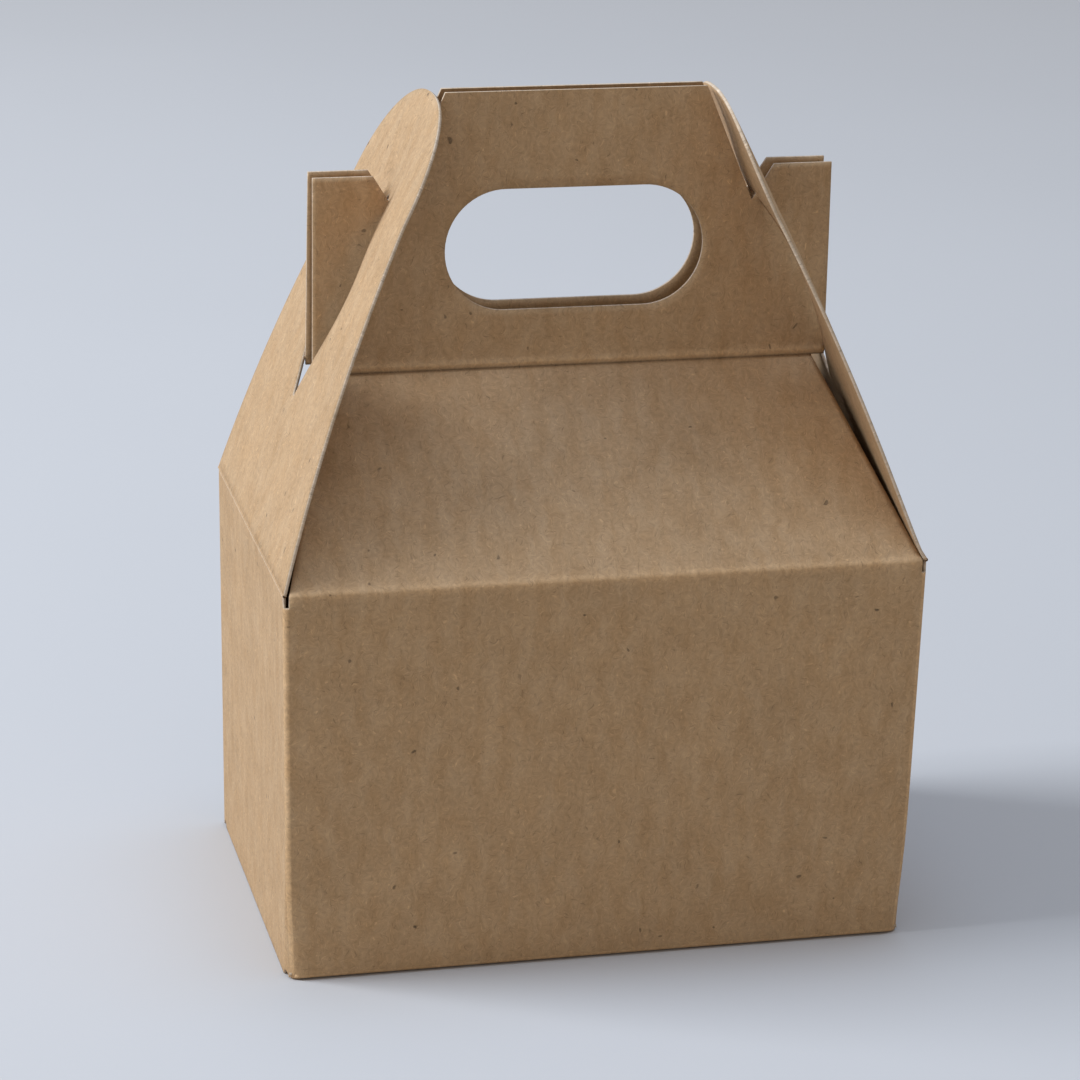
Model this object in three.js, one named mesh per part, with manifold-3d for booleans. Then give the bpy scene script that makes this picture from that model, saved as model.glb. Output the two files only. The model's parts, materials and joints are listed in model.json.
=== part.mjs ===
// A small gable box of brown kraft card, closed. One die-cut sheet is folded into the base, four
// walls, two roof panels and two handle panels. The gable flap at each end is hooked over the ears
// of the handle, and turns at the fold along the top of its end wall.
// Millimetres. X runs along the handle, Y from front to back, Z up. The origin is the centre of the base.
import * as THREE from "three";
import { mergeVertices } from "three/addons/utils/BufferGeometryUtils.js";
import Module from "manifold-3d";

const wasm = await Module();
wasm.setup();

// The card
const card = 0.5;
const foldRadius = 0.8;
const clearance = 0.3;

// The body, whose end walls lean out a little towards the top
const bodyWidth = 101.6;
const baseTaper = 1.6;
const bodyDepth = 63.5;
const wallHeight = 63.5;

// The roof, up to the fold below the handle
const roofRise = 25.5;
const roofInset = 0.95;
const ridgeDepth = 6.4;

// The handle: two panels that lean together, with a hand hole and an ear at each end
const handleRise = 43.8;
const handleTopDepth = 3.4;
const handleTopWidth = 41.6;
const earSpan = 82.8;
const earRise = 31.2;
const earTopWidth = 9.4;
const notchSpan = 57;
const notchRise = 25.6;
const holeLength = 41.4;
const holeHeight = 19.2;
const holeRise = 19;

// The gable flaps, each bowed outwards, with a slot that lets the ears through
const flapHeight = 74.4;
const flapFootInset = 0.25;
const flapShoulderWidth = 37.8;
const flapShoulderRise = 56.5;
const flapBow = 2.1;
const tipGap = 1.5;
const flapCrownWidth = 20.8;
const slotWidth = 13;
const slotTail = 6.1;
const slotPointLength = 17;
const slotPointBend = 5;
const slotNeckLength = 7;
const slotEndWidth = 5.8;

// The base: two long bottom flaps that lock along a seam, over a short one at each end
const seamOffset = 5;
const seamGap = 0.4;
const tongueWidth = 30;
const tongueReach = 11;
const endFlapReach = 26;
const endFlapTaper = 9;
const cornerArch = 0.9;
const cornerArchInset = 2.1;
const glueTabWidth = 10;
const glueTabTaper = 3;

// Heights and spans that follow from the sizes above
const baseWidth = bodyWidth - baseTaper;
const sideTop = wallHeight - card / 2 - clearance;
const ridgeHeight = wallHeight + roofRise;
const handleTop = ridgeHeight + handleRise;
const earTop = ridgeHeight + earRise;
const hingeX = bodyWidth / 2 - card / 2;
const tipX = handleTopWidth / 2 + tipGap;
const lean = Math.atan2(hingeX - tipX, handleTop - wallHeight);

// Smoothness of folds and curves
const foldSteps = 5;
const bowSteps = 14;
const curveSteps = 20;

// How far one sheet runs into the next before they are joined, and the length of a cutting tool
const overlap = 2;
const inset = 0.02;
const bite = card / 4;
const far = 4 * bodyWidth;

function manifoldOf(geometry) {
  geometry.deleteAttribute("normal");
  geometry.deleteAttribute("uv");
  const merged = mergeVertices(geometry, 1e-5);
  return new wasm.Manifold(new wasm.Mesh({
    numProp: 3,
    vertProperties: new Float32Array(merged.attributes.position.array),
    triVerts: new Uint32Array(merged.index.array),
  }));
}

function geometryOf(solid) {
  const mesh = solid.getMesh();
  const geometry = new THREE.BufferGeometry();
  geometry.setAttribute("position", new THREE.BufferAttribute(mesh.vertProperties, 3));
  geometry.setIndex(new THREE.BufferAttribute(mesh.triVerts, 1));
  geometry.computeVertexNormals();
  return geometry;
}

function extrude(shape, depth) {
  const options = { depth, bevelEnabled: false, curveSegments: curveSteps };
  return new THREE.ExtrudeGeometry(shape, options);
}

// A shape drawn in (x, y), from height z up.
function extrudeUp(shape, z, height) {
  return manifoldOf(extrude(shape, height).translate(0, 0, z));
}

// A shape drawn in (x, z), carried along Y to both sides of zero.
function extrudeAcross(shape, depth) {
  return manifoldOf(extrude(shape, depth).translate(0, 0, -depth / 2).rotateX(Math.PI / 2));
}

// A shape drawn in (y, z), carried along X to both sides of zero.
function extrudeAlong(shape, depth) {
  const turn = new THREE.Matrix4().makeBasis(
    new THREE.Vector3(0, 1, 0), new THREE.Vector3(0, 0, 1), new THREE.Vector3(1, 0, 0));
  return manifoldOf(extrude(shape, depth).translate(0, 0, -depth / 2).applyMatrix4(turn));
}

function mirroredShape(rightHalf) {
  const leftHalf = rightHalf.map((p) => new THREE.Vector2(-p.x, p.y)).reverse();
  return new THREE.Shape([...rightHalf, ...leftHalf]);
}

function rectangle(x0, y0, x1, y1) {
  const corners = [[x0, y0], [x1, y0], [x1, y1], [x0, y1]];
  return new THREE.Shape(corners.map(([x, y]) => new THREE.Vector2(x, y)));
}

function roundedRectangle(width, depth, radius) {
  const shape = new THREE.Shape();
  const x = width / 2 - radius;
  const y = depth / 2 - radius;
  shape.absarc(x, y, radius, 0, Math.PI / 2);
  shape.absarc(-x, y, radius, Math.PI / 2, Math.PI);
  shape.absarc(-x, -y, radius, Math.PI, Math.PI * 1.5);
  shape.absarc(x, -y, radius, Math.PI * 1.5, Math.PI * 2);
  return new THREE.Shape(shape.getPoints(foldSteps));
}

// The cross-section of a folded sheet: its middle line through the given points, with each fold
// rounded, thickened by half the card to either side.
function foldedSection(points) {
  const middle = [{ at: points[0], side: sideways(points[0], points[1]) }];
  for (let i = 1; i < points.length - 1; i += 1) {
    middle.push(...roundedFold(points[i - 1], points[i], points[i + 1]));
  }
  const last = points.length - 1;
  middle.push({ at: points[last], side: sideways(points[last - 1], points[last]) });
  return thickened(middle);
}

function sideways(from, to) {
  const direction = to.clone().sub(from).normalize();
  return new THREE.Vector2(direction.y, -direction.x);
}

function thickened(middle) {
  const outer = middle.map(({ at, side }) => at.clone().addScaledVector(side, card / 2));
  const inner = middle.map(({ at, side }) => at.clone().addScaledVector(side, -card / 2));
  return new THREE.Shape([...outer, ...inner.reverse()]);
}

function roundedFold(before, corner, after) {
  const radius = foldRadius - card / 2;
  const sideIn = sideways(before, corner);
  const sideOut = sideways(corner, after);
  const turn = Math.atan2(sideIn.cross(sideOut), sideIn.dot(sideOut));
  const back = before.clone().sub(corner).normalize();
  const start = corner.clone().addScaledVector(back, radius * Math.tan(Math.abs(turn) / 2));
  const centre = start.clone().addScaledVector(sideIn, -Math.sign(turn) * radius);
  return Array.from({ length: foldSteps + 1 }, (_, k) => {
    const side = sideIn.clone().rotateAround(new THREE.Vector2(), turn * k / foldSteps);
    return { at: centre.clone().addScaledVector(side, Math.sign(turn) * radius), side };
  });
}

// Half the width of the roof at a height: its edge runs just inside the gable flap.
function roofHalfWidth(z) {
  return bodyWidth / 2 - roofInset - Math.max(0, z - wallHeight) * Math.tan(lean);
}

// The front wall's top, roof panel and handle panel, as one folded strip cut to its outline.
function frontSheet() {
  const wallMiddle = -bodyDepth / 2 + card / 2 + inset;
  const section = foldedSection([
    new THREE.Vector2(wallMiddle, sideTop - overlap),
    new THREE.Vector2(wallMiddle, wallHeight),
    new THREE.Vector2(-ridgeDepth / 2 + card / 2, ridgeHeight),
    new THREE.Vector2(-handleTopDepth / 2 + card / 2, handleTop),
  ]);
  const outline = mirroredShape([
    new THREE.Vector2(roofHalfWidth(wallHeight), sideTop - overlap),
    new THREE.Vector2(roofHalfWidth(wallHeight), wallHeight),
    new THREE.Vector2(roofHalfWidth(ridgeHeight), ridgeHeight - card),
    new THREE.Vector2(earSpan / 2, ridgeHeight - card),
    new THREE.Vector2(earSpan / 2, earTop),
    new THREE.Vector2(earSpan / 2 - earTopWidth, earTop),
    new THREE.Vector2(notchSpan / 2, ridgeHeight + notchRise),
    new THREE.Vector2(handleTopWidth / 2, handleTop),
  ]);
  outline.holes.push(handHole());
  return extrudeAlong(section, far).intersect(extrudeAcross(outline, far));
}

function handHole() {
  const radius = holeHeight / 2;
  const middle = ridgeHeight + holeRise;
  const run = holeLength / 2 - radius;
  const path = new THREE.Path();
  path.absarc(run, middle, radius, -Math.PI / 2, Math.PI / 2);
  path.absarc(-run, middle, radius, Math.PI / 2, Math.PI * 1.5);
  return path;
}

// Four walls in a ring with rounded corners, narrowed towards the base.
function walls() {
  const ring = roundedRectangle(bodyWidth, bodyDepth, foldRadius);
  const x = bodyWidth / 2 - card;
  const y = bodyDepth / 2 - card;
  ring.holes.push(rectangle(-x, -y, x, y));
  const geometry = extrude(ring, sideTop);
  const position = geometry.attributes.position;
  for (let i = 0; i < position.count; i += 1) {
    const share = position.getZ(i) / wallHeight;
    position.setX(i, position.getX(i) * (1 + (baseWidth / bodyWidth - 1) * (1 - share)));
  }
  return manifoldOf(geometry);
}

// The arch cut in the foot of each end wall, beside each corner.
function cornerArches() {
  const arch = new THREE.CylinderGeometry(cornerArch, cornerArch, 4 * card, curveSteps);
  arch.rotateZ(Math.PI / 2);
  const x = baseWidth / 2;
  const y = bodyDepth / 2 - cornerArchInset;
  const places = [[x, y], [-x, y], [-x, -y], [x, -y]];
  return places
    .map(([atX, atY]) => manifoldOf(arch.clone().translate(atX, atY, 0)))
    .reduce((all, one) => all.add(one));
}

// The base: the long bottom flaps below, the end flaps and the back one's tongue lying on them.
function base() {
  const x = baseWidth / 2 - card + bite;
  const y = bodyDepth / 2 - card + bite;
  const seamEnd = x - endFlapReach + endFlapTaper;
  const longFlaps = extrudeUp(rectangle(-x, -y, x, y), 0, card);
  const seam = rectangle(-seamEnd, seamOffset, seamEnd, seamOffset + seamGap);
  const endFlap = new THREE.Shape([
    new THREE.Vector2(x, -y), new THREE.Vector2(x, y),
    new THREE.Vector2(x - endFlapReach, y - endFlapTaper),
    new THREE.Vector2(x - endFlapReach, endFlapTaper - y),
  ]);
  const tongueEnd = seamOffset - tongueReach;
  const tongue = rectangle(-tongueWidth / 2, tongueEnd, tongueWidth / 2, seamOffset + tongueReach);
  const upper = extrudeUp(endFlap, card, card);
  return longFlaps
    .subtract(extrudeUp(seam, -overlap, overlap + card))
    .add(upper)
    .add(upper.rotate([0, 0, 180]))
    .add(extrudeUp(tongue, card, card));
}

// The tab that joins the sheet's two ends, glued flat inside the back wall.
function glueTab() {
  const right = baseWidth / 2 - card / 2;
  const left = right - glueTabWidth;
  const shape = new THREE.Shape([
    new THREE.Vector2(right, card / 2), new THREE.Vector2(right, sideTop - glueTabTaper),
    new THREE.Vector2(left, sideTop - 2 * glueTabTaper), new THREE.Vector2(left, card + glueTabTaper),
  ]);
  const thickness = card + card / 2;
  return extrudeAcross(shape, thickness).translate([0, bodyDepth / 2 - card / 2 - thickness / 2, 0]);
}

function foldedCarton() {
  const sheet = frontSheet();
  return walls()
    .add(sheet)
    .add(sheet.rotate([0, 0, 180]))
    .add(base())
    .add(glueTab())
    .subtract(cornerArches());
}

// Distance from the flap's fold to a point of the ears.
function reachFromHinge(x, z) {
  return Math.hypot(hingeX - x, z - wallHeight);
}

// The slot's outline in (y, distance from the fold): pointed below, blunt above, and long enough
// for the ears to pass as the flap turns.
function earSlot() {
  const foot = reachFromHinge(earSpan / 2, ridgeHeight) - slotTail;
  const top = reachFromHinge(earSpan / 2 - earTopWidth, earTop) + clearance;
  const half = slotWidth / 2;
  const shoulder = foot + slotPointLength;
  const neck = top - slotNeckLength;
  const bend = foot + slotPointBend;
  const path = new THREE.Path();
  path.moveTo(0, foot);
  path.quadraticCurveTo(half, bend, half, shoulder);
  path.lineTo(half, neck);
  path.quadraticCurveTo(half, top, slotEndWidth / 2, top);
  path.lineTo(-slotEndWidth / 2, top);
  path.quadraticCurveTo(-half, top, -half, neck);
  path.lineTo(-half, shoulder);
  path.quadraticCurveTo(-half, bend, 0, foot);
  return path;
}

function flapOutline() {
  const foot = bodyDepth / 2 - flapFootInset;
  const shoulder = flapShoulderWidth / 2;
  const crown = flapCrownWidth / 2;
  const pull = (flapHeight - flapShoulderRise) / 2;
  const pullX = shoulder - pull * (foot - shoulder) / flapShoulderRise;
  const pullY = flapShoulderRise + pull;
  const shape = new THREE.Shape();
  shape.moveTo(-foot, -card);
  shape.lineTo(foot, -card);
  shape.lineTo(foot, 0);
  shape.lineTo(shoulder, flapShoulderRise);
  shape.bezierCurveTo(pullX, pullY, crown, flapHeight, 0, flapHeight);
  shape.bezierCurveTo(-crown, flapHeight, -pullX, pullY, -shoulder, flapShoulderRise);
  shape.lineTo(-foot, 0);
  shape.holes.push(earSlot());
  return shape;
}

// The flap's cross-section in (x, z), upright on its fold: a parabola bowed outwards, with the
// foot rounded about the line that the flap turns on.
function flapSection() {
  const middle = Array.from({ length: bowSteps + 1 }, (_, k) => {
    const share = k / bowSteps;
    const slope = 4 * flapBow * (1 - 2 * share) / flapHeight;
    const side = new THREE.Vector2(1, -slope).normalize();
    return { at: new THREE.Vector2(4 * flapBow * share * (1 - share), flapHeight * share), side };
  });
  const foot = Array.from({ length: foldSteps - 1 }, (_, k) => {
    const angle = Math.PI + Math.PI * (k + 1) / foldSteps;
    return new THREE.Vector2(Math.cos(angle), Math.sin(angle)).multiplyScalar(card / 2);
  });
  return new THREE.Shape([...thickened(middle).getPoints(), ...foot]);
}

function gableFlap() {
  return extrudeAcross(flapSection(), far).intersect(extrudeAlong(flapOutline(), far));
}

const kraft = { roughness: 0.86, metalness: 0 };

function mesh(name, geometry, color) {
  const part = new THREE.Mesh(geometry, new THREE.MeshStandardMaterial({ color, ...kraft }));
  part.name = name;
  return part;
}

// The flap is made leaning on the right. A half turn about Z puts its twin on the left.
function placedFlap(name, geometry, turn) {
  const flap = mesh(name, geometry, 0xbf9f76);
  flap.position.set(hingeX, 0, wallHeight);
  flap.rotation.y = -lean;
  const side = new THREE.Group();
  side.rotation.z = turn;
  side.add(flap);
  return side;
}

const flapGeometry = geometryOf(gableFlap());
const group = new THREE.Group();
group.add(mesh("folded_carton", geometryOf(foldedCarton()), 0xb08f68));
group.add(placedFlap("gable_flap_right", flapGeometry, 0));
group.add(placedFlap("gable_flap_left", flapGeometry.clone(), Math.PI));

export default group;
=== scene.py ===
"""A small gable box in brown kraft card, closed and standing on its base, in metres."""
import json
import math
import bpy
import numpy as np
from mathutils import Matrix, Vector


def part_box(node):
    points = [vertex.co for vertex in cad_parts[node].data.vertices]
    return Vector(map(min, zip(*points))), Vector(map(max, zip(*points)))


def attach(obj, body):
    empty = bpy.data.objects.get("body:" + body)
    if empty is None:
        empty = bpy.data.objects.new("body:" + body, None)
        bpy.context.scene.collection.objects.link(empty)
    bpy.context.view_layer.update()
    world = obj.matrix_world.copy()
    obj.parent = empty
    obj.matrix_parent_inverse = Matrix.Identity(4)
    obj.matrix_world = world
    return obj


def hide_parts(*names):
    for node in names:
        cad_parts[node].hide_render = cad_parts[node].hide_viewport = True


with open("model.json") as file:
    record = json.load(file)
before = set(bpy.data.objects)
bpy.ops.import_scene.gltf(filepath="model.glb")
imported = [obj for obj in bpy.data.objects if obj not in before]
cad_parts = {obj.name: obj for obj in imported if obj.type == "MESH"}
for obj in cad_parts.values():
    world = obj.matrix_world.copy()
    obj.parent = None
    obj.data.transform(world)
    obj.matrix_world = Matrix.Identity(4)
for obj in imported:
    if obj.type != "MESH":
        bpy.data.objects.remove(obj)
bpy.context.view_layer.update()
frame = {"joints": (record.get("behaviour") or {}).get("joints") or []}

# The board: every panel is the same uncoated brown kraft board, half a millimetre thick. Its face
# is pressed from long pulp fibres, pale and dark, that lie mostly along the grain of the roll.
# The die leaves a paler, layered edge, and the scored folds are rubbed a little lighter. The ridge
# fold also gets a painted highlight on its bead and a painted shade line in its crease.
card = 0.0005
fold_radius = 0.0009
millimetres = 1000.0
grain_tilt = 0.12
fibre_relief = 0.00006
face_colour = (0.45, 0.279, 0.136)
edge_colour = (0.56, 0.42, 0.28)
pale_fibre_places = ((1.3, 0.0), (1.75, 41.0), (0.6, 87.0), (2.5, 133.0))
dark_fibre_places = ((1.5, 211.0), (0.2, 257.0), (2.1, 311.0))


def add_node(tree, kind, inputs=None, **settings):
    """A node with its settings made and its inputs joined to a socket or set to a value."""
    node = tree.nodes.new(kind)
    for name, value in settings.items():
        setattr(node, name, value)
    for name, value in (inputs or {}).items():
        if isinstance(value, bpy.types.NodeSocket):
            tree.links.new(value, node.inputs[name])
        else:
            node.inputs[name].default_value = value
    return node


def noise(tree, place, scale, detail, roughness=0.5, output="Fac"):
    """Cloudy noise: a sum of ever finer waves, each a set share as strong as the one before."""
    return add_node(tree, "ShaderNodeTexNoise", {
        "Vector": place, "Scale": scale, "Detail": detail, "Roughness": roughness}).outputs[output]


def carried(tree, value, source, target=(0.0, 1.0)):
    """A value carried in proportion from one range onto another, and held at its ends."""
    return add_node(tree, "ShaderNodeMapRange", {
        "Value": value, "From Min": source[0], "From Max": source[1],
        "To Min": target[0], "To Max": target[1]}).outputs["Result"]


def scaled_onto(tree, value, factor, base):
    """The value times the factor, plus the base."""
    return add_node(tree, "ShaderNodeMath", {
        0: value, 1: factor, 2: base}, operation="MULTIPLY_ADD").outputs[0]


def stretched(tree, place, turn, scale):
    """Coordinates scaled along and across, then turned about the sheet's normal."""
    return add_node(tree, "ShaderNodeMapping", {
        "Vector": place, "Rotation": (0, 0, turn), "Scale": scale}).outputs[0]


def fibre_mask(tree, place, turn, seed, low, high):
    """Noise stretched along one direction and cut off below a level, which leaves thin fibres."""
    turned = add_node(tree, "ShaderNodeMapping", {
        "Vector": place, "Rotation": (0, 0, turn), "Location": (seed, 3 * seed, 0)}).outputs[0]
    thin = stretched(tree, turned, 0.0, (0.55, 6.5, 1))
    return carried(tree, noise(tree, thin, 1.0, 1.0), (low, high))


def speck_mask(tree, place, scale, size, rarity):
    """Small round spots: a cell pattern cut off near each cell's middle, in some of the cells."""
    cells = add_node(tree, "ShaderNodeTexVoronoi", {
        "Vector": place, "Scale": scale, "Randomness": 1.0})
    near = carried(tree, cells.outputs["Distance"], (size, 0.6 * size))
    parts = add_node(tree, "ShaderNodeSeparateColor", {"Color": cells.outputs["Color"]})
    picked = carried(tree, parts.outputs["Red"], (rarity, rarity + 0.02))
    return add_node(tree, "ShaderNodeMath", {0: near, 1: picked}, operation="MULTIPLY").outputs[0]


def strongest(tree, values):
    """The largest of several values."""
    total = values[0]
    for value in values[1:]:
        total = add_node(tree, "ShaderNodeMath", {
            0: total, 1: value}, operation="MAXIMUM").outputs[0]
    return total


def make_kraft_group():
    """Colour, roughness and height of kraft board over its flat blank, whose map is in metres.

    The tone adds up fine flocks, streaks along the grain, mottling and wide clouds. It lightens or
    darkens the base colour, as do pale and dark fibres, specks, flecks, the rubbed lightness of a
    fold, and the ridge fold's painted highlight and painted crease shade."""
    group = bpy.data.node_groups.new("kraft face", "ShaderNodeTree")
    face = group.interface
    face.new_socket("Blank", in_out="INPUT", socket_type="NodeSocketVector")
    face.new_socket("Base", in_out="INPUT", socket_type="NodeSocketColor")
    face.new_socket("Rub", in_out="INPUT", socket_type="NodeSocketFloat")
    face.new_socket("Colour", in_out="OUTPUT", socket_type="NodeSocketColor")
    face.new_socket("Roughness", in_out="OUTPUT", socket_type="NodeSocketFloat")
    face.new_socket("Height", in_out="OUTPUT", socket_type="NodeSocketFloat")
    source = add_node(group, "NodeGroupInput").outputs

    blank = add_node(group, "ShaderNodeVectorMath", {
        0: source["Blank"], "Scale": millimetres}, operation="SCALE").outputs[0]
    curl = noise(group, blank, 0.45, 1.0, output="Color")
    curl = add_node(group, "ShaderNodeVectorMath", {
        0: curl, 1: (0.5, 0.5, 0.5)}, operation="SUBTRACT").outputs[0]
    bent = add_node(group, "ShaderNodeVectorMath", {
        0: curl, 1: (2.2, 2.2, 0), 2: blank}, operation="MULTIPLY_ADD").outputs[0]

    clouds = noise(group, blank, 0.09, 3.0)
    flocks = noise(group, bent, 1.5, 4.0, roughness=0.62)
    streaks = noise(group, stretched(group, bent, grain_tilt, (1.9, 0.28, 1)), 1.0, 3.0)
    mottle = noise(group, stretched(group, bent, grain_tilt, (0.42, 0.15, 1)), 1.0, 2.0)
    pale = strongest(group, [
        fibre_mask(group, bent, turn, seed, 0.64, 0.74) for turn, seed in pale_fibre_places])
    dark = strongest(group, [
        fibre_mask(group, bent, turn, seed, 0.66, 0.76) for turn, seed in dark_fibre_places])
    specks = speck_mask(group, bent, 0.30, 0.10, 0.72)
    flecks = speck_mask(group, bent, 0.55, 0.13, 0.6)

    tone = scaled_onto(group, streaks, 0.28, flocks)
    tone = scaled_onto(group, clouds, 0.35, tone)
    tone = scaled_onto(group, mottle, 0.45, tone)
    shade = carried(group, tone, (0.7, 1.45), (0.74, 1.22))
    shade = scaled_onto(group, pale, 0.24, shade)
    shade = scaled_onto(group, dark, -0.32, shade)
    shade = scaled_onto(group, specks, -0.5, shade)
    shade = scaled_onto(group, flecks, 0.26, shade)
    # Rubbed folds lighten the colour, and the same channel paints the ridge's highlight and crease
    # shade; it shows most where the flocks are.
    worn_and_painted_light = add_node(group, "ShaderNodeMath", {
        0: source["Rub"], 1: flocks}, operation="MULTIPLY").outputs[0]
    shade = scaled_onto(group, worn_and_painted_light, 0.45, shade)
    colour = add_node(group, "ShaderNodeVectorMath", {
        0: source["Base"], "Scale": shade}, operation="SCALE").outputs[0]
    green = carried(group, mottle, (0.3, 0.7), (0.96, 1.02))
    blue = carried(group, mottle, (0.3, 0.7), (0.9, 1.06))
    tint = add_node(group, "ShaderNodeCombineXYZ", {"X": 1.0, "Y": green, "Z": blue}).outputs[0]
    colour = add_node(group, "ShaderNodeVectorMath", {
        0: colour, 1: tint}, operation="MULTIPLY").outputs[0]

    rough = carried(group, tone, (0.7, 1.7), (0.86, 0.66))
    height = scaled_onto(group, flocks, 0.6, pale)
    height = scaled_onto(group, dark, -0.5, height)
    add_node(group, "NodeGroupOutput", {"Colour": colour, "Roughness": rough, "Height": height})
    return group


kraft_group = make_kraft_group()


def kraft_material(name, base, bump, rub):
    """A board surface: the kraft group over the blank's own map, with a shallow fibre bump."""
    material = bpy.data.materials.new(name)
    material.use_nodes = True
    tree = material.node_tree
    tree.nodes.clear()
    blank = add_node(tree, "ShaderNodeUVMap", uv_map="blank").outputs["UV"]
    # This attribute holds the lighter rubbed folds and the ridge fold's painted highlight and
    # painted crease shade; the last argument scales it.
    worn_and_painted_light = add_node(tree, "ShaderNodeAttribute", attribute_name="rub").outputs["Fac"]
    worn_and_painted_light = add_node(tree, "ShaderNodeMath", {0: worn_and_painted_light, 1: rub}, operation="MULTIPLY").outputs[0]
    face = add_node(tree, "ShaderNodeGroup", node_tree=kraft_group)
    tree.links.new(blank, face.inputs["Blank"])
    tree.links.new(worn_and_painted_light, face.inputs["Rub"])
    face.inputs["Base"].default_value = (*base, 1)
    raised = add_node(tree, "ShaderNodeBump", {
        "Height": face.outputs["Height"], "Strength": bump, "Distance": fibre_relief})
    board = add_node(tree, "ShaderNodeBsdfPrincipled", {
        "Base Color": face.outputs["Colour"], "Roughness": face.outputs["Roughness"],
        "Normal": raised.outputs["Normal"], "Specular IOR Level": 0.4})
    add_node(tree, "ShaderNodeOutputMaterial", {"Surface": board.outputs["BSDF"]})
    return material


kraft_face = kraft_material("kraft_face", face_colour, 0.5, 1.0)
kraft_edge = kraft_material("kraft_cut_edge", edge_colour, 0.8, 0.0)


# The carton: one die-cut sheet, folded into four walls, a locked base, two roof panels and two
# handle panels. Its two ends meet at the right back corner, where a tab is glued inside the back
# wall. The end walls lean out a little towards the top, and the closed box bulges slightly.
carton_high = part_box("folded_carton")[1]
hinge = frame["joints"][0]["pos_m"]
wall_top = hinge[2]
half_width = abs(hinge[0]) + card / 2
half_depth = carton_high.y
handle_top = carton_high.z
base_share = 100.0 / 101.6
strip_foot = wall_top - 0.002
end_wall_top = wall_top - 0.00035
tab_width = 0.0105
tab_foot = 0.004
seam_depth = 0.005
seam_gap = 0.0004
arch_radius = 0.0009
arch_inset = 0.0021
corner_foot = 0.00015
foot_round = 0.0022
foot_round_height = 0.012
wall_swell = 0.00045
wall_sag = 0.0003
roof_swell = 0.0004
handle_bow = 0.0003
ridge_height = 0.0890
ridge_depth = 0.0032
ridge_radius = 0.0003
ridge_bead = 0.0003
ridge_bead_above = 0.0008
ridge_bead_width = 0.0004
# Painted light at the ridge fold: a painted highlight on the bead and a painted shade line in the
# crease.
ridge_highlight_strength = 0.9
ridge_highlight_width = 0.0005
crease_shade_strength = 2.4
crease_shade_width = 0.0002
fold_rub_width = 0.0008
base_fold_rub_width = 0.001
handle_top_depth = 0.0017
roof_half_top = 0.0393
handle_half_top = 0.0208
ear_half = 0.0414
ear_top = 0.1202
ear_top_start = 0.0320
notch_half = 0.0285
notch_height = 0.1146
hole_half_length = 0.0207
hole_radius = 0.0096
hole_height = 0.1080


def eased(count):
    """Fractions from 0 to 1 that crowd towards both ends, as half a cosine wave does."""
    return 0.5 - 0.5 * np.cos(np.pi * np.linspace(0, 1, count))


def bell(distance, width):
    """A bell curve: e to the power of minus the square of the distance over the width."""
    return np.exp(-(distance / width) ** 2)


def rounded_path(points, radii, steps=6):
    """A path through the points with each inner corner replaced by an arc of its radius.

    The arc's centre lies on the corner's half angle line, the radius over the sine of the half
    angle away, and the arc turns from one touching point to the other in even steps."""
    rows = [np.array(points[0], float)]
    for before, corner, after, radius in zip(points[:-2], points[1:-1], points[2:], radii):
        before, corner, after = (np.array(p, float) for p in (before, corner, after))
        to_before = (before - corner) / np.linalg.norm(before - corner)
        to_after = (after - corner) / np.linalg.norm(after - corner)
        half = math.acos(np.clip(to_before @ to_after, -1, 1)) / 2
        middle = (to_before + to_after) / np.linalg.norm(to_before + to_after)
        centre = corner + middle * radius / math.sin(half)
        start = corner + to_before * radius / math.tan(half) - centre
        end = corner + to_after * radius / math.tan(half) - centre
        sweep = np.pi - 2 * half
        share = np.linspace(0, 1, steps + 1)[:, None]
        arc = np.sin((1 - share) * sweep) * start + np.sin(share * sweep) * end
        rows.extend(centre + arc / math.sin(sweep))
    rows.append(np.array(points[-1], float))
    return np.array(rows)


def filled_path(path, counts):
    """The path with its long straight runs, given by index, divided into eased steps."""
    rows = []
    for k in range(len(path) - 1):
        share = eased(counts.get(k, 2))[:-1, None]
        rows.append(path[k] * (1 - share) + path[k + 1] * share)
    return np.vstack(rows + [path[-1:]])


def length_along(path):
    """Distance along a path at each of its points: the sum of the steps up to it."""
    return np.concatenate([[0], np.cumsum(np.linalg.norm(np.diff(path, axis=0), axis=1))])


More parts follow.
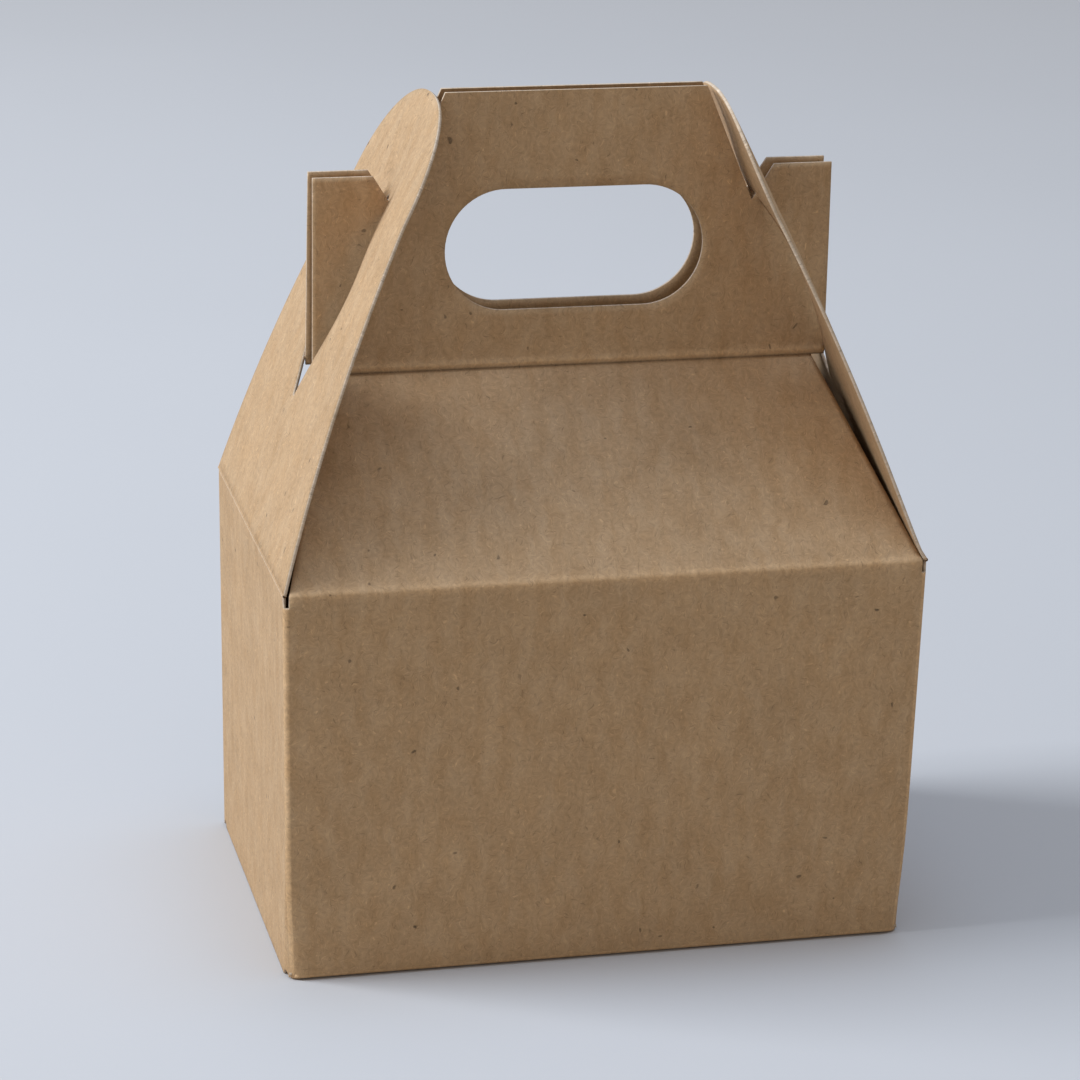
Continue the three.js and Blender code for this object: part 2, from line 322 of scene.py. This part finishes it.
class Sheet:
    """Grids of points on one sheet's outer face, with their place on the flat blank and a channel
    for rubbed folds and painted fold light.
    """

    def __init__(self):
        self.points, self.blank, self.rub, self.faces = [], [], [], []
        self.count = 0

    def add(self, points, blank, rub=0.0, flip=False):
        """Adds a grid of rows by columns of points, joined into quads."""
        rows, columns = points.shape[:2]
        index = np.arange(rows * columns).reshape(rows, columns) + self.count
        quads = np.stack([
            index[:-1, :-1], index[:-1, 1:], index[1:, 1:], index[1:, :-1]], -1).reshape(-1, 4)
        self.faces.append(quads[:, ::-1] if flip else quads)
        self.points.append(points.reshape(-1, 3))
        self.blank.append(blank.reshape(-1, 2))
        self.rub.append(np.broadcast_to(rub, (rows, columns)).reshape(-1))
        self.count += rows * columns

    def make(self, name, materials, thickness=card):
        """The mesh object, welded where grids share a border, and thickened inwards."""
        points, faces = np.vstack(self.points), np.vstack(self.faces)
        key = np.round(points * 2e6).astype(np.int64)
        _, first, where = np.unique(key, axis=0, return_index=True, return_inverse=True)
        welded = where.reshape(-1)[faces]
        whole = np.all(np.diff(np.sort(welded, axis=1), axis=1) > 0, axis=1)
        mesh = bpy.data.meshes.new(name)
        mesh.from_pydata(points[first].tolist(), [], welded[whole].tolist())
        corner = faces[whole].reshape(-1)
        layer = mesh.uv_layers.new(name="blank")
        layer.data.foreach_set("uv", np.vstack(self.blank)[corner].astype(np.float32).reshape(-1))
        # The attribute holds rubbed folds together with the ridge fold's painted highlight and
        # painted crease shade.
        rub = mesh.attributes.new("rub", "FLOAT", "POINT")
        rub.data.foreach_set("value", np.concatenate(self.rub)[first].astype(np.float32))
        mesh.polygons.foreach_set("use_smooth", np.ones(len(mesh.polygons), bool))
        mesh.update()
        thing = bpy.data.objects.new(name, mesh)
        bpy.context.scene.collection.objects.link(thing)
        for material in materials:
            mesh.materials.append(material)
        if thickness:
            wall = thing.modifiers.new("card", "SOLIDIFY")
            wall.thickness = thickness
            wall.offset = -1.0
            wall.use_even_offset = True
            wall.material_offset_rim = 1
        return thing


# Columns of the front and back panels as shares of their half width, with one at each notch.
notch_share = notch_half / roof_half_top
span_flank = np.array([0.79, 0.86, 0.93, 0.955, 0.98, 1.0])
flank = len(span_flank)
span_middle = np.linspace(-notch_share, notch_share, 33)
span = np.concatenate([-span_flank[::-1], span_middle, span_flank])


def taper(z):
    """Width of the body at a height, as a share of its width at the top: a straight line."""
    return base_share + (1 - base_share) * np.clip(z / wall_top, 0, 1)


def bulge(across, up):
    """How far a wall swells out between its folds: a cosine across times a sine upwards."""
    return np.cos(np.clip(across, -1, 1) * np.pi / 2) * np.sin(np.clip(up, 0, 1) * np.pi)


def soften(x, depth, z):
    """Rounds the front corners off more and more towards the foot.

    The round's centre lies one radius in from both walls. A point of the corner that is further
    than the radius from it is drawn in to the radius, along the line to the centre."""
    radius = fold_radius + foot_round * bell(z, foot_round_height)
    edge = half_width * taper(z)
    from_end, from_front = radius - (edge - np.abs(x)), radius - (half_depth - depth)
    reach = np.hypot(from_end, from_front)
    outside = (from_end > 0) & (from_front > 0) & (reach > radius)
    share = np.where(outside, radius / np.maximum(reach, 1e-9), 1)
    x = np.sign(x) * (edge - radius + from_end * share)
    return x, half_depth - radius + from_front * share


# Parts of the ring of walls, in the order in which it runs: walls between rounded corners.
ring_tab, ring_right, ring_front, ring_left, ring_back = 0, 2, 4, 6, 8
ring_corners = (1, 3, 5, 7)
ring_front_corners = (3, 5)


def wall_ring():
    """The glued tab and the four walls, clockwise from the tab to the back wall's cut end.

    Straight runs joined by quarter circles, with more points near the corners of the end walls."""
    tab = half_depth - card
    corner_x, corner_y = half_width - fold_radius, half_depth - fold_radius
    quarter = np.linspace(0, np.pi / 2, 7)[1:-1, None]
    near = np.linspace(0, 0.1, 15)[:-1]
    side = np.concatenate([near, np.linspace(0.1, 1.9, 16), 2 - near[::-1]])[:, None] - 1

    def arc(x, y, start):
        """Points of a quarter circle clockwise from the start angle about (x, y)."""
        angle = start - quarter
        return np.hstack([x + fold_radius * np.cos(angle), y + fold_radius * np.sin(angle)])

    def row(x, y):
        """Points from one running coordinate and one that stays."""
        return np.hstack(np.broadcast_arrays(x, y))

    front = row(-span[:, None] * corner_x, np.array([[-half_depth]]))
    pieces = [
        row(np.linspace(half_width - tab_width, corner_x, 6)[:, None], np.array([[tab]])),
        arc(corner_x, tab - fold_radius, np.pi / 2),
        row(np.array([[half_width]]), -side * (corner_y - card / 2) - card / 2),
        arc(corner_x, -corner_y, 0),
        front,
        arc(-corner_x, -corner_y, -np.pi / 2),
        row(np.array([[-half_width]]), side * corner_y),
        arc(-corner_x, corner_y, np.pi),
        -front,
        np.array([[half_width - card, half_depth]])]
    return np.vstack(pieces), [len(piece) for piece in pieces]


def add_walls(sheet):
    """The ring of walls as rows from the foot up, with an arch beside each end wall's corners.

    Each column runs from its foot to its top in eased steps. It is drawn in by the taper, and the
    front and back swell out while the end walls sag in, by the bulge."""
    ring, sizes = wall_ring()
    kind = np.repeat(np.arange(len(sizes)), sizes)
    along = length_along(ring)
    middle = along[kind == ring_front].mean()
    is_end = (kind == ring_right) | (kind == ring_left)
    top = np.where(is_end, end_wall_top, strip_foot)
    offset = np.abs(np.abs(ring[:, 1]) - (half_depth - arch_inset))
    arch = np.sqrt(np.clip(arch_radius ** 2 - offset ** 2, 0, None))
    foot = np.where(is_end, arch, fold_radius)
    foot = np.where(np.isin(kind, ring_front_corners), corner_foot, foot)
    foot = np.where(kind == ring_tab, tab_foot, foot)
    share = eased(26)[:, None]
    z = foot * (1 - share) + top * share
    x = ring[:, 0] * taper(z)
    y = np.broadcast_to(ring[:, 1], z.shape).copy()
    rise = (z - fold_radius) / (strip_foot - fold_radius)
    swell = bulge(ring[:, 0] / half_width, rise) * wall_swell
    y += np.where((kind == ring_front) | (kind == ring_back), np.sign(ring[:, 1]) * swell, 0)
    sag = bulge(ring[:, 1] / half_depth, rise) * wall_sag
    x -= np.where(is_end, np.sign(ring[:, 0]) * sag, 0)
    soft_x, soft_depth = soften(x, -y, z)
    front = y < 0
    x = np.where(front, soft_x, x)
    y = np.where(front, -soft_depth, y)
    rub = np.where(np.isin(kind, ring_corners), 1.0, 0.0) * np.ones_like(z)
    blank = np.stack(np.broadcast_arrays(middle - along, z), -1)
    sheet.add(np.stack([x, y, z], -1), blank, rub, flip=True)
    return middle, along, kind


def ridge_painted_light(height, ridge):
    """Painted light along the ridge fold: a painted highlight, a bell on the raised bead, less a
    narrow painted shade line in the crease.
    """
    raised = ridge_highlight_strength * bell(height - ridge - ridge_bead_above, ridge_highlight_width)
    return raised - crease_shade_strength * bell(height - ridge, crease_shade_width)


def add_panels(sheet, side, blank_shift):
    """Base flap, roof and handle panel on the front (side 1) or, half turned, the back (side -1).

    Each is a rounded path from the wall, widened across by the panel's half width at each point,
    and the roof swells along its normal by the bulge."""
    def place(x, depth, z):
        """Panel coordinates carried to the front, or turned half round to the back."""
        return np.stack(np.broadcast_arrays(side * x, -side * depth, z), -1)

    def lay(x, along):
        """Place on the flat blank: across, and the length along the path."""
        return np.stack(np.broadcast_arrays(x + blank_shift, along), -1)

    corner_x = half_width - fold_radius
    corners = [(half_depth, strip_foot), (half_depth, wall_top), (ridge_depth, ridge_height),
               (handle_top_depth, handle_top)]
    roof = filled_path(rounded_path(corners, [fold_radius, ridge_radius])[:-1], {0: 5, 7: 26})
    run = length_along(roof)
    share = np.clip((roof[:, 1] - wall_top) / (ridge_height - wall_top), 0, 1)[:, None]
    x = span * (corner_x * taper(roof[:, 1:]) * (1 - share) + roof_half_top * share)
    swell = bulge(span, share) * roof_swell
    fold = bell(run - (wall_top - strip_foot), fold_rub_width)
    # Painted shade in the ridge crease, with the bead's painted highlight, added to the rubbed roof
    # fold.
    fold += ridge_painted_light(roof[:, 1], roof[-1, 1])
    sheet.add(place(x, roof[:, :1] + swell, roof[:, 1:] + swell),
              lay(x, strip_foot + run[:, None]), fold[:, None])
    add_handle(sheet, place, lay, roof[-1], strip_foot + run[-1])

    inner = seam_depth if side == 1 else -seam_depth - seam_gap
    base = rounded_path([(half_depth, fold_radius), (half_depth, 0), (-inner, 0)], [fold_radius])
    base = filled_path(base[1:], {6: 14})
    x = span * corner_x * taper(base[:, 1:])
    run = length_along(base)[:, None]
    depth = base[:, :1] + 0 * x
    if side == 1:
        x, depth = soften(x, depth, base[:, 1:])
    sheet.add(place(x, depth, base[:, 1:]), lay(x, -run),
              bell(run, base_fold_rub_width), flip=True)


def hole_edge(x, z):
    """The point of the hand hole's edge on the line from its centre to (x, z).

    The hole is a slot with round ends: the line meets its flat side where the height is the
    radius, or else the end's circle, by the quadratic formula."""
    run = hole_half_length - hole_radius
    away = np.stack([x, z - hole_height], -1)
    unit = away / np.linalg.norm(away, axis=-1, keepdims=True)
    flat = hole_radius / np.maximum(np.abs(unit[..., 1]), 1e-9)
    on_side = np.abs(unit[..., 0]) * flat <= run
    cross = np.abs(unit[..., 0]) * run
    reach = cross + np.sqrt(np.maximum(cross ** 2 - run ** 2 + hole_radius ** 2, 0))
    return unit * np.where(on_side, flat, reach)[..., None] + (0, hole_height)


def add_handle(sheet, place, lay, foot, blank_foot):
    """The handle panel: straight lines from the hand hole out to the edge, and an ear each side.

    The panel leans in a little, bows out by half a sine wave, and has a bell-shaped bead above
    its fold."""
    foot_depth, foot_height = foot
    rise = handle_top - foot_height
    lean = (foot_depth - handle_top_depth) / rise

    def on_panel(x, z):
        """A point of the panel's flat outline set on its leaning, bowed face."""
        bow = handle_bow * np.sin(np.clip((z - foot_height) / rise, 0, 1) * np.pi)
        bead = ridge_bead * bell(z - foot_height - ridge_bead_above, ridge_bead_width)
        depth = foot_depth - (z - foot_height) * lean + bow * np.cos(x / ear_half) + bead
        return place(x, depth, z)

    rows = foot_height + (notch_height - foot_height) * np.linspace(0, 1, 26) ** 1.7
    right = np.stack([np.full(25, notch_half), rows[:-1]], -1)
    notch, peak = np.array([notch_half, notch_height]), np.array([handle_half_top, handle_top])
    slope = np.linspace(notch, peak, 16)[:-1]
    top = np.linspace(peak, peak * (-1, 1), 33)[:-1]
    left_slope = np.linspace(peak * (-1, 1), notch * (-1, 1), 16)[:-1]
    left = np.stack([np.full(25, -notch_half), rows[:0:-1]], -1)
    bottom = np.stack([span[flank:-flank] * roof_half_top, np.full(33, foot_height)], -1)
    edge = np.vstack([right, slope, top, left_slope, left, bottom])
    inner = hole_edge(edge[:, 0], edge[:, 1])
    share = (1 - (1 - np.linspace(0, 1, 17)) ** 2)[:, None, None]
    grid = inner * (1 - share) + edge * share
    x, z = grid[..., 0], grid[..., 1]
    # The handle carries the painted highlight on its bead and the painted shade of the crease at
    # its foot.
    sheet.add(on_panel(x, z), lay(x, blank_foot + z - foot_height),
              ridge_painted_light(z, foot_height), flip=True)

    chamfer = np.linspace(notch, (ear_top_start, ear_top), 8)[1:]
    ear_side = np.vstack([np.stack([np.full(26, notch_half), rows], -1), chamfer])
    ear_foot = np.concatenate([
        span[-flank - 1:] * roof_half_top, np.linspace(roof_half_top, ear_half, 4)[1:]])
    part = ((ear_foot - notch_half) / (ear_half - notch_half))[None, :]
    for hand in (1, -1):
        x = hand * (ear_side[:, :1] * (1 - part) + ear_half * part)
        z = ear_side[:, 1:] + 0 * x
        # The ears carry the same painted highlight on the bead and painted shade in the crease at
        # their foot.
        sheet.add(on_panel(x, z), lay(x, blank_foot + z - foot_height),
                  ridge_painted_light(z, foot_height), flip=hand < 0)


carton = Sheet()
ring_middle, ring_along, ring_kind = add_walls(carton)


def blank_centre(part):
    """How far a wall's middle lies along the flat blank from the front wall's middle."""
    return ring_middle - ring_along[ring_kind == part].mean()


add_panels(carton, 1, 0.0)
add_panels(carton, -1, blank_centre(ring_back))
carton_piece = carton.make("folded_carton_card", [kraft_face, kraft_edge])
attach(carton_piece, "carton")
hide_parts("folded_carton")


# The end flaps of the base: two short flaps of the same sheet, folded in from the end walls under
# the goods and covered from below by the long flaps.
end_flap_reach = 0.026
end_flap_taper = 0.009
end_flap_gap = 0.0003
inside_floor = card * 1.02


def add_end_flap(sheet, side, blank_shift):
    """A flat flap from the foot of one end wall, narrowed in a straight line to its free edge."""
    share = np.linspace(0, 1, 9)[:, None]
    across = np.linspace(-1, 1, 13)[None, :]
    x = side * (half_width * base_share - card - share * end_flap_reach)
    y = across * (half_depth - card - end_flap_gap - share * end_flap_taper)
    blank = np.stack([side * y + blank_shift, -share * end_flap_reach + 0 * y], -1)
    points = np.stack([x + 0 * y, y, np.full_like(y, inside_floor)], -1)
    sheet.add(points, blank, flip=side > 0)


end_flaps = Sheet()
add_end_flap(end_flaps, 1, blank_centre(ring_right))
add_end_flap(end_flaps, -1, blank_centre(ring_left))
end_flap_piece = end_flaps.make("base_end_flaps", [kraft_face, kraft_edge])
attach(end_flap_piece, "carton")


# The tongue: the middle of the back long flap of the base, pushed up through the seam and lying
# flat on the front one, which locks the base without glue.
tongue_half = 0.015
tongue_back = 0.016
tongue_front = -0.006
tongue_round = 0.004


def add_tongue(sheet, blank_shift):
    """A flat strip from back to front, narrowed by the eighth power of the way to its end."""
    share = np.linspace(0, 1, 25)[:, None]
    x = np.linspace(-1, 1, 17)[None, :] * (tongue_half - tongue_round * share ** 8)
    y = tongue_back + (tongue_front - tongue_back) * share + 0 * x
    points = np.stack([x, y, np.full_like(y, inside_floor)], -1)
    sheet.add(points, np.stack([x + blank_shift, y], -1))


tongue = Sheet()
add_tongue(tongue, blank_centre(ring_back))
tongue_piece = tongue.make("base_tongue", [kraft_face, kraft_edge])
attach(tongue_piece, "carton")


# The gable flaps: a tall rounded flap on each end wall, part of the same sheet. It leans in on the
# roof, bowed outwards by the pull of the ears, which are pushed through its leaf-shaped slot.
flap_height = 0.0744
flap_foot_half = 0.0315
flap_shoulder_half = 0.0189
flap_shoulder = 0.0565
flap_crown_power = 2.2
flap_lean = math.radians(22.3)
flap_bow = 0.0021
right_flap_curl = 0.0031
slot_foot = 0.021
slot_top = 0.0577
slot_half = 0.0079
slot_skew = 1.3
slot_dimple = 0.7
slot_dimple_height = 0.009
slot_dimple_width = 0.007
bead_radius = card * 0.6


def flap_half(up):
    """The flap's half width at a height: a straight line from its foot to its shoulder."""
    return flap_foot_half + (flap_shoulder_half - flap_foot_half) * up / flap_shoulder


def flap_outline():
    """The flap's edge in (across, up): straight tapering sides and a full, rounded crown.

    The crown is an ellipse whose cosine and sine are raised to a power a little below 1."""
    up = eased(30)[:-1] * flap_shoulder
    side = np.stack([flap_half(up), up], -1)
    turn = np.linspace(0, np.pi / 2, 26)
    power = 2 / flap_crown_power
    crown_height = flap_height - flap_shoulder
    crown = np.stack([flap_shoulder_half * np.cos(turn) ** power,
                      flap_shoulder + crown_height * np.sin(turn) ** power], -1)
    half = np.vstack([side, crown])
    foot = np.stack([
        np.linspace(-flap_foot_half, flap_foot_half, 34)[1:-1], np.zeros(32)], -1)
    return np.vstack([half, (half * (-1, 1))[::-1][1:], foot])


def slot_edge(outline):
    """The point of the slot's edge in the direction of each outline point from its middle.

    The slot is a leaf: half a sine wave on each side, skewed upwards by a power of the height."""
    middle = 0.5 * (slot_foot + slot_top)
    share = np.linspace(0, 1, 200)
    half = slot_half * np.sin(np.pi * share ** slot_skew)
    up = slot_foot + (slot_top - slot_foot) * share
    leaf = np.vstack([np.stack([half, up], -1), np.stack([-half, up], -1)[::-1][1:-1]])
    angle = np.arctan2(leaf[:, 1] - middle, leaf[:, 0])
    reach = np.hypot(leaf[:, 0], leaf[:, 1] - middle)
    order = np.argsort(angle)
    wanted = np.arctan2(outline[:, 1] - middle, outline[:, 0])
    radius = np.interp(wanted, angle[order], reach[order], period=2 * np.pi)
    return np.stack([radius * np.cos(wanted), middle + radius * np.sin(wanted)], -1)


def make_flap(name, body, node, side, blank_shift, curl):
    """One flap as a ring of points from the slot out to its edge, leaned about its fold.

    It stands out from its plane by a parabola up the flap, less a dimple above the slot, and less
    a curl of the front edge that grows with the square of the way across."""
    outline = flap_outline()
    outline = np.vstack([outline, outline[:1]])
    inner = slot_edge(outline)
    share = np.linspace(0, 1, 16)[:, None, None]
    grid = inner * (1 - share) + outline * share
    across, up = grid[..., 0], grid[..., 1]
    part = up / flap_height
    belly = 4 * part * (1 - part)
    dimple = bell(up - slot_top, slot_dimple_height) * bell(across, slot_dimple_width)
    front_way = np.minimum(across, 0) / flap_half(np.minimum(up, flap_shoulder))
    front_curl = curl * front_way ** 2 * np.sqrt(part)
    out = card / 2 + flap_bow * (belly - slot_dimple * dimple) - front_curl
    x = abs(hinge[0]) - up * math.sin(flap_lean) + out * math.cos(flap_lean)
    z = wall_top + up * math.cos(flap_lean) + out * math.sin(flap_lean)
    points = np.stack([side * x, side * across, z], -1)
    blank = np.stack([across + blank_shift, wall_top + up], -1)
    flap = Sheet()
    flap.add(points, blank, bell(up, fold_rub_width), flip=True)
    piece = flap.make(name, [kraft_face, kraft_edge])
    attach(piece, body)
    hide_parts(node)


def make_fold(name, body, side, blank_shift):
    """The raised bead of the flap's scored fold: a circle carried along the hinge."""
    turn = np.linspace(0, 2 * np.pi, 17)[:, None]
    along = np.linspace(-flap_foot_half, flap_foot_half, 24)[None, :]
    x = abs(hinge[0]) + bead_radius * np.cos(turn)
    z = wall_top + bead_radius * np.sin(turn)
    points = np.stack(np.broadcast_arrays(side * x, side * along, z), -1)
    blank = np.stack(np.broadcast_arrays(along + blank_shift, wall_top + bead_radius * turn), -1)
    fold = Sheet()
    fold.add(points, blank)
    piece = fold.make(name, [kraft_face], thickness=0)
    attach(piece, body)


make_flap("gable_flap_right_card", "right_flap", "gable_flap_right", 1,
          blank_centre(ring_right), right_flap_curl)
make_fold("gable_flap_right_fold", "right_flap", 1, blank_centre(ring_right))
make_flap("gable_flap_left_card", "left_flap", "gable_flap_left", -1,
          blank_centre(ring_left), 0.0)
make_fold("gable_flap_left_fold", "left_flap", -1, blank_centre(ring_left))


# The studio: a pale floor that runs back into a pale backdrop, a wide soft light on the left, a
# weaker one above, and the camera where the photograph was taken from, found from the corners of
# the box.
floor_colour = (0.49, 0.462, 0.425)
floor_level = -0.00015
floor_front, floor_back, floor_half_width = -1.5, 2.2, 3.0
backdrop_height = 2.0
box_middle = (0, 0, 0.06)


def studio_material(name, colour):
    """A matt pale surface, made faintly uneven by noise."""
    material = bpy.data.materials.new(name)
    material.use_nodes = True
    tree = material.node_tree
    tree.nodes.clear()
    place = add_node(tree, "ShaderNodeTexCoord").outputs["Object"]
    tone = carried(tree, noise(tree, place, 3.0, 3.0), (0.0, 1.0), (0.96, 1.04))
    tint = add_node(tree, "ShaderNodeVectorMath", {
        0: colour, "Scale": tone}, operation="SCALE").outputs[0]
    matt = add_node(tree, "ShaderNodeBsdfDiffuse", {"Color": tint}).outputs[0]
    add_node(tree, "ShaderNodeOutputMaterial", {"Surface": matt})
    return material


sweep_rows = rounded_path([
    (floor_front, floor_level), (floor_back, floor_level), (floor_back, backdrop_height)],
    [1.0], steps=24)
sweep_x = np.linspace(-floor_half_width, floor_half_width, 25)[None, :]
sweep_grid = np.stack(np.broadcast_arrays(sweep_x, sweep_rows[:, :1], sweep_rows[:, 1:]), -1)
sweep = Sheet()
sweep.add(sweep_grid, sweep_grid[..., :2])
floor = sweep.make("studio_sweep", [studio_material("pale_floor", floor_colour)], thickness=0)


def soft_light(name, place, size, power, colour):
    """A square area light at a place, facing the middle of the box."""
    lamp = bpy.data.lights.new(name, "AREA")
    lamp.size = size
    lamp.energy = power
    lamp.color = colour
    thing = bpy.data.objects.new(name, lamp)
    thing.location = place
    aim = Vector(box_middle) - Vector(place)
    thing.rotation_euler = aim.to_track_quat("-Z", "Y").to_euler()
    bpy.context.scene.collection.objects.link(thing)


soft_light("window", (-1.2, 0.22, 1.04), 0.7, 27.5, (0.88, 1.0, 1.2))
soft_light("sky above", (0.1, 0.1, 1.4), 0.8, 7.0, (0.64, 0.92, 1.4))

world = bpy.data.worlds.new("room")
world.use_nodes = True
surround = world.node_tree.nodes["Background"].inputs
surround["Color"].default_value = (1.0, 0.98, 1.0, 1)
surround["Strength"].default_value = 0.46
bpy.context.scene.world = world

view_place = (-0.14185, -0.55963, 0.25955)
view_yaw, view_pitch, view_roll = (math.radians(angle) for angle in (13.871, -19.186, 1.512))
focal_pixels, frame_pixels, sensor = 3805.4, 1080.0, 36.0
forward = np.array([
    math.sin(view_yaw) * math.cos(view_pitch), math.cos(view_yaw) * math.cos(view_pitch),
    math.sin(view_pitch)])
level = np.array([math.cos(view_yaw), -math.sin(view_yaw), 0.0])
upright = np.cross(level, forward)
camera_x = math.cos(view_roll) * level + math.sin(view_roll) * upright
camera_y = math.cos(view_roll) * upright - math.sin(view_roll) * level
camera_data = bpy.data.cameras.new("photo view")
camera_data.sensor_width = sensor
camera_data.lens = focal_pixels / frame_pixels * sensor
camera = bpy.data.objects.new("photo view", camera_data)
turned = Matrix((camera_x, camera_y, -forward)).transposed().to_4x4()
turned.translation = view_place
camera.matrix_world = turned
bpy.context.scene.collection.objects.link(camera)
bpy.context.scene.camera = camera
bpy.context.scene.view_settings.view_transform = "Standard"
